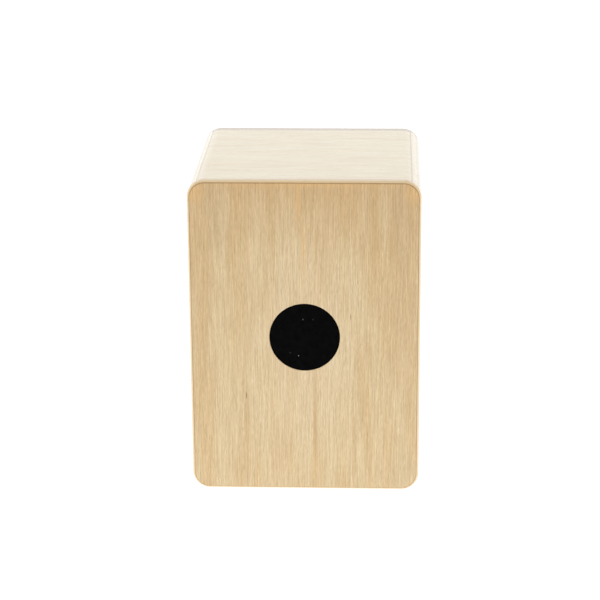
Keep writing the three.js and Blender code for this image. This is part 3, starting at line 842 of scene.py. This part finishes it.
def countersinks():
    """One cutter for all the tapa's screw seats."""
    build = bmesh.new()
    for name in tapa_screw_names():
        at = middle(name)
        profile = [
            (SEAT_CONE["shank_r"], TAPA_Y - MM),
            (SEAT_CONE["shank_r"], FRONT_Y - SEAT_CONE["depth"]),
            (SEAT_CONE["head_r"], FRONT_Y),
            (SEAT_CONE["head_r"], FRONT_Y + MM),
        ]
        rings = [[Vector((at.x + p.x, y, at.z + p.y)) for p in circle(r, 0, 32)] for r, y in profile]
        add_rings(build, rings, closed=False)
    return to_object("countersinks", build, WOOD["tapa"])


def playing_face():
    build = bmesh.new()
    add_rings(build, edge_rings(FRONT_Y, TAPA_Y, TAPA_EDGE_R, 5), closed=False)
    piece = to_object("playing_face", build, WOOD["tapa"])
    carve(piece, countersinks())
    shade(piece)
    return install(piece, "box", "tapa_plywood", "tapa")


JOINT_ANGLE = math.acos((CORNER_R - BOARD_T) / CORNER_R)
TENSION_BORE_R = 3.1 * MM


def side_outline(side):
    high, low = SEAT_Z - CORNER_R, FLOOR_GAP + CORNER_R
    centre_x = EAST - CORNER_R
    top = arc(Vector((centre_x, high)), CORNER_R, JOINT_ANGLE, 0, CORNER_STEPS)
    foot = arc(Vector((centre_x, low)), CORNER_R, 0, -JOINT_ANGLE, CORNER_STEPS)
    return [Vector((side * p.x, p.y)) for p in top + foot]


def level_outline(up):
    """The seat board's outline, or the base board's where up is -1."""
    outer = SEAT_Z if up > 0 else FLOOR_GAP
    centre = Vector((EAST - CORNER_R, outer - up * CORNER_R))
    right = arc(centre, CORNER_R, up * JOINT_ANGLE, up * math.pi / 2, CORNER_STEPS)
    left = [Vector((-p.x, p.y)) for p in reversed(right)]
    inner = outer - up * BOARD_T
    return [Vector((-INNER_X, inner)), Vector((INNER_X, inner)), *right, *left]


def board(name, outline, material, holes=()):
    """A board between the panel and the tapa. Its edges are eased, so its joints show as fine grooves."""
    build = bmesh.new()
    add_rings(build, [at_depth(outline, PANEL_Y), at_depth(outline, TAPA_Y)], closed=False)
    piece = to_object(name, build, material)
    if holes:
        cutter = bmesh.new()
        for x, y, radius in holes:
            rings = [circle(radius, z, 24, (x, y)) for z in (FLOOR_GAP - MM, FLOOR_GAP + BOARD_T + MM)]
            add_rings(cutter, rings, closed=False)
        carve(piece, to_object("drill", cutter, material))
    ease(piece, EASED)
    shade(piece)
    return piece


def boards():
    screws = [middle(f"tension_screw_{hand}") for hand in HANDS]
    bores = [(at.x, at.y, TENSION_BORE_R) for at in screws]
    install(board("left_side", side_outline(-1), WOOD["side"]), "box", "side_plywood", "left_side_board")
    install(board("right_side", side_outline(1), WOOD["side"]), "box", "side_plywood", "right_side_board")
    install(board("seat", level_outline(1), WOOD["level"]), "box", "seat_plywood", "seat_board")
    install(board("base", level_outline(-1), WOOD["level"], bores), "box", "side_plywood", "base_board")


# ---- Sound hole -------------------------------------------------------------------------------------

CLOTH_SEGMENTS = 96
CLOTH_RINGS = 14
CLOTH_HOLLOW = 0.25 * MM


def cloth_ring(radius, y):
    return [Vector((HOLE.x + p.x, y, HOLE.z + p.y)) for p in circle(radius, 0, CLOTH_SEGMENTS)]


def cloth():
    """The cloth over the hoop, drawn tight, with a slight hollow and its edge turned back."""
    low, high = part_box("hole_cloth")
    radius = (high.x - low.x) / 2
    turned = 0.5 * MM
    front = low.y + 0.05 * MM
    rings = []
    for i in range(CLOTH_RINGS + 1):
        t = i / CLOTH_RINGS
        rings.append(cloth_ring(t * (radius - turned), front + CLOTH_HOLLOW * (1 - t * t)))
    for angle in (30, 60, 90):
        a = math.radians(angle)
        rings.append(cloth_ring(radius - turned * (1 - math.sin(a)), front + turned * (1 - math.cos(a))))
    build = bmesh.new()
    add_rings(build, rings, closed=False, ends=False)
    piece = to_object("acoustic_cloth", build, CLOTH)
    piece.data.shade_smooth()
    install(piece, "box", "black_cloth", "hole_cloth")


# ---- Screws and feet --------------------------------------------------------------------------------

def threaded(core, crest, start, end, pitch):
    """A profile of thread grooves between two heights."""
    count = int((end - start) / pitch)
    points = []
    for i in range(count):
        points += [(core, start + i * pitch), (crest, start + (i + 0.5) * pitch)]
    return points + [(core, start + count * pitch)]


def cross_recess(half_length, half_width, top, depth):
    """A tapered cross-shaped cutter whose wide end is at top. depth is negative to cut downwards."""
    build = bmesh.new()
    rings = []
    for scale, height in ((1.12, top - 0.12 * depth), (0.42, top + depth)):
        a, b = half_width * max(scale, 0.6), half_length * scale
        corners = [(b, -a), (b, a), (a, a), (a, b), (-a, b), (-a, a), (-b, a), (-b, -a), (-a, -a), (-a, -b),
                   (a, -b), (a, -a)]
        rings.append([Vector((x, y, height)) for x, y in corners])
    add_rings(build, rings, closed=False)
    return to_object("recess", build, ZINC)


def screw_mesh(name, profile, material, cutter, segments=40):
    """A screw along Z, turned and then cut, kept as a mesh for its copies."""
    build = bmesh.new()
    lathe(build, profile, segments)
    piece = to_object(name, build, material)
    carve(piece, cutter)
    data = piece.data
    data.shade_smooth()
    data.set_sharp_from_angle(angle=SMOOTH_ANGLE)
    bpy.data.objects.remove(piece)
    return data


def copy_of(data, name, place, turn=None):
    piece = bpy.data.objects.new(name, data)
    piece.matrix_world = Matrix.Translation(place) @ (turn or Matrix.Identity(4))
    bpy.context.scene.collection.objects.link(piece)
    return piece


def face_screws():
    """Countersunk cross-head screws round the tapa, each turned a little differently."""
    low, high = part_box("tapa_screw_01")
    length = high.y - low.y
    head_r, shank_r = 3.5 * MM, 1.75 * MM
    head = rounded([(0, 0), (head_r - 0.1 * MM, 0), (head_r, -0.25 * MM), (shank_r, -2.2 * MM)], 0.2 * MM)
    shank = threaded(0.72 * shank_r, shank_r, -length + 2 * shank_r, -4 * MM, 1.2 * MM)
    profile = [(0, -length), *shank, (shank_r, -3.6 * MM), *reversed(head)]
    data = screw_mesh("face_screw", profile, OXIDE, cross_recess(2.1 * MM, 0.48 * MM, 0, -1.5 * MM))
    to_front = Matrix.Rotation(-math.pi / 2, 4, "X")
    for i, node in enumerate(tapa_screw_names()):
        at = middle(node)
        place = (at.x, high.y, at.z)
        spin = Matrix.Rotation(math.radians(37 * i % 90), 4, "Z")
        piece = copy_of(data, node.replace("tapa", "face"), place, to_front @ spin)
        install(piece, "box", "black_steel", node)


def round_head_screws():
    """The feet's and the batten's wood screws, which point up."""
    nodes = sorted(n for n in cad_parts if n.startswith(("foot_screw_", "batten_screw_")))
    for prefix in ("foot_screw_", "batten_screw_"):
        family = [n for n in nodes if n.startswith(prefix)]
        low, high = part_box(family[0])
        length = high.z - low.z
        head_r, head_h, shank_r = 4 * MM, 2.4 * MM, 2 * MM
        head = rounded([(0, 0), (0.55 * head_r, 0), (head_r, 0.55 * head_h), (head_r, head_h),
                        (shank_r, head_h)], 0.7 * MM, 4)
        shank = threaded(0.72 * shank_r, shank_r, head_h + 1.5 * MM, length - 2 * shank_r, 1.4 * MM)
        profile = [*head, (shank_r, head_h + 1.1 * MM), *shank, (0, length)]
        data = screw_mesh(prefix + "mesh", profile, ZINC, cross_recess(2.2 * MM, 0.5 * MM, 0, 1.6 * MM))
        for i, node in enumerate(family):
            at = middle(node)
            spin = Matrix.Rotation(math.radians(50 * i % 90), 4, "Z")
            piece = copy_of(data, node.replace("_screw_", "_fixing_"), (at.x, at.y, low.z), spin)
            install(piece, "box", "zinc_steel", node)


def hex_cutter(across, top, depth):
    build = bmesh.new()
    radius = across / math.sqrt(3)
    add_rings(build, [circle(radius, top, 6), circle(radius, depth, 6)], closed=False)
    return to_object("hex_key", build, ZINC)


def tuning_screws():
    """Button-head screws that tighten the strings, with a hex socket and a fine thread."""
    low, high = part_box("tension_screw_left")
    length = high.z - low.z
    head_r, head_h, shank_r = 5.25 * MM, 3.24 * MM, 2.95 * MM
    dome = [(0, 0), (0.45 * head_r, 0), (0.6 * head_r, 0.04 * head_h)]
    for i in range(1, 9):
        a = math.radians(14 + 76 * i / 8)
        dome.append((head_r * (0.55 + 0.45 * math.sin(a)), head_h * (1 - 0.98 * math.cos(a))))
    thread = threaded(0.86 * shank_r, shank_r, head_h + 12 * MM, length - 1.5 * MM, 1.0 * MM)
    neck = [(head_r - 0.15 * MM, head_h), (shank_r, head_h), (shank_r, head_h + 11.6 * MM)]
    profile = [*dome, *neck, *thread, (0.62 * shank_r, length), (0, length)]
    data = screw_mesh("tuning_screw", profile, OXIDE, hex_cutter(4 * MM, -MM, 2.2 * MM), 48)
    for hand in HANDS:
        node = f"tension_screw_{hand}"
        at = middle(node)
        piece = copy_of(data, f"tuning_screw_{hand}", (at.x, at.y, low.z))
        install(piece, f"screw_{hand}", "black_steel", node)


def washers():
    for hand in HANDS:
        node = f"tension_washer_{hand}"
        low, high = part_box(node)
        outer, bore, thick = (high.x - low.x) / 2, 3.2 * MM, high.z - low.z
        start = (0.5 * (outer + bore), 0)
        ring = rounded([start, (outer, 0), (outer, thick), (bore, thick), (bore, 0), start], 0.3 * MM)
        build = bmesh.new()
        lathe(build, ring[:-1], 48, closed=True)
        piece = to_object(f"washer_{hand}", build, ZINC)
        piece.location = (middle(node).x, middle(node).y, low.z)
        shade(piece)
        install(piece, "box", "zinc_steel", node)


def feet():
    """Moulded rubber feet with a rolled edge, a shallow groove round the side and a well for the screw."""
    for node in sorted(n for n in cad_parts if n.startswith("foot_") and "screw" not in n):
        low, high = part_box(node)
        top_r, height = (high.x - low.x) / 2, high.z - low.z
        sole_r, well_r, bore, well_z = 13.5 * MM, 6.5 * MM, 2.2 * MM, 7 * MM
        groove_z = 0.72 * height
        groove_r = sole_r + (top_r - sole_r) * 0.72
        start = (0.5 * (sole_r + well_r), 0)
        ring = rounded([
            start,
            (sole_r, 0),
            (groove_r - 0.1 * MM, groove_z - 0.7 * MM),
            (groove_r - 0.7 * MM, groove_z),
            (groove_r, groove_z + 0.7 * MM),
            (top_r, height),
            (bore, height),
            (bore, well_z),
            (well_r - 0.4 * MM, well_z),
            (well_r, 0),
            start,
        ], 1.1 * MM, 4)
        build = bmesh.new()
        lathe(build, ring[:-1], 64, closed=True)
        piece = to_object(f"rubber_{node}", build, RUBBER)
        piece.location = (middle(node).x, middle(node).y, 0)
        shade(piece)
        install(piece, "box", "rubber", node)


# ---- Strings ----------------------------------------------------------------------------------------

WIRE_R = 0.45 * MM
BALL_GAP = 1.75 * MM  # from a ball end's middle to the wire
TWIST_LENGTH = 14 * MM
TWIST_PITCH = 0.9 * MM
TWIST_STEPS = 6  # rings in one turn of the twisted end


def string_radius(from_end):
    """The wire, thicker where its end is twisted back round it beside the ball."""
    if from_end > TWIST_LENGTH:
        return WIRE_R
    ridge = 0.5 + 0.5 * math.cos(2 * math.pi * from_end / TWIST_PITCH)
    return WIRE_R + (0.06 + 0.2 * ridge) * MM


def strings():
    """Snare strings between their ball ends."""
    names = (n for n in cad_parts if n.startswith("string_"))
    for node in sorted(n for n in names if n.endswith(("outer", "inner"))):
        tag = node.removeprefix("string_")
        hand = tag.split("_")[0]
        y = middle(node).y
        top, low = middle(f"ball_end_top_{tag}"), middle(f"ball_end_low_{tag}")
        top, low = Vector((top.x, y, top.z)), Vector((low.x, y, low.z))
        along = (low - top).normalized()
        start, end = top + along * BALL_GAP, low - along * BALL_GAP
        length = (end - start).length
        twist_count = int(TWIST_LENGTH / TWIST_PITCH * TWIST_STEPS)
        steps = [i * TWIST_PITCH / TWIST_STEPS for i in range(twist_count + 1)]
        middles = [TWIST_LENGTH + (length - 2 * TWIST_LENGTH) * i / 40 for i in range(1, 40)]
        places = steps + middles + [length - s for s in reversed(steps)]
        side = Vector((along.z, 0, -along.x))
        rings = []
        for s in places:
            r = string_radius(min(s, length - s))
            rings.append([start + along * s + side * p.x + Vector((0, p.y, 0)) for p in circle(r, 0, 10)])
        build = bmesh.new()
        add_rings(build, rings, closed=False)
        piece = to_object(f"snare_{tag}", build, WIRE)
        piece.data.shade_smooth()
        piece.data.set_sharp_from_angle(angle=math.radians(60))
        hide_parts(node)
        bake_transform(piece)


def ball_ends():
    """Turned barrels with a waist for the wire."""
    low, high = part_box("ball_end_top_left_outer")
    half, r = (high.y - low.y) / 2, (high.x - low.x) / 2
    start = (0.35 * r, 0)
    ring = rounded([
        start,
        (0.35 * r, -half),
        (r, -half),
        (r, -0.45 * half),
        (0.72 * r, -0.2 * half),
        (0.72 * r, 0.2 * half),
        (r, 0.45 * half),
        (r, half),
        (0.35 * r, half),
        start,
    ], 0.25 * MM)
    build = bmesh.new()
    lathe(build, ring[:-1], 32, closed=True)
    pattern = to_object("ball_pattern", build, BRASS)
    data = pattern.data
    data.shade_smooth()
    data.set_sharp_from_angle(angle=SMOOTH_ANGLE)
    bpy.data.objects.remove(pattern)
    lying = Matrix.Rotation(math.pi / 2, 4, "X")
    for node in sorted(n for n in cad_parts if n.startswith("ball_end_")):
        body = "box" if "_top_" in node else f"anchor_{node.split('_')[3]}"
        piece = copy_of(data, node.replace("ball_end", "ball"), middle(node), lying)
        install(piece, body, "brass", node)


def foams():
    """Cut foam blocks, a little pinched and uneven."""
    for hand in HANDS:
        node = f"damper_foam_{hand}"
        low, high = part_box(node)
        size = high - low
        build = bmesh.new()
        bmesh.ops.create_cube(build, size=1.0)
        bmesh.ops.subdivide_edges(build, edges=build.edges, cuts=7, use_grid_fill=True)
        for v in build.verts:
            unit = v.co * 2
            corner = max(0.0, Vector((abs(unit.x) ** 6, abs(unit.y) ** 6, abs(unit.z) ** 6)).length - 1.0)
            place = Vector((v.co.x * size.x, v.co.y * size.y, v.co.z * size.z)) * (1 - 0.07 * corner)
            crumple = noise.noise_vector(place * 420 + Vector((3.0, 7.0, 1.0 if hand == "left" else 5.0)))
            v.co = middle(node) + place * 0.985 + crumple * 0.12 * MM
        piece = to_object(f"foam_{hand}", build, FOAM)
        subdivide = piece.modifiers.new("soft", "SUBSURF")
        subdivide.levels = 1
        subdivide.render_levels = 1
        piece.data.shade_smooth()
        install(piece, "box", "grey_foam", node)


# ---- CAD nodes that keep their shape ----------------------------------------------------------------

KEPT_NODES = {
    "hole_hoop": PLASTIC,
    "string_batten": BEECH,
    "anchor_guide_": BEECH,
    "corner_block_": PINE,
    "string_anchor_": BRASS,
}


def soften_cad_nodes():
    """Materials and eased edges for the inner pieces whose CAD shape is already right."""
    for prefix, material in KEPT_NODES.items():
        for name in sorted(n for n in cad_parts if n.startswith(prefix)):
            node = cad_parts[name]
            for slot in node.material_slots:
                slot.material = material
            node.modifiers.new("weld", "WELD").merge_threshold = 0.01 * MM
            flat = node.modifiers.new("flat", "DECIMATE")
            flat.decimate_type = "DISSOLVE"
            flat.angle_limit = math.radians(1)
            ease(node, 0.3 * MM)


hole_panel()
playing_face()
boards()
cloth()
face_screws()
round_head_screws()
tuning_screws()
washers()
feet()
strings()
ball_ends()
foams()
soften_cad_nodes()
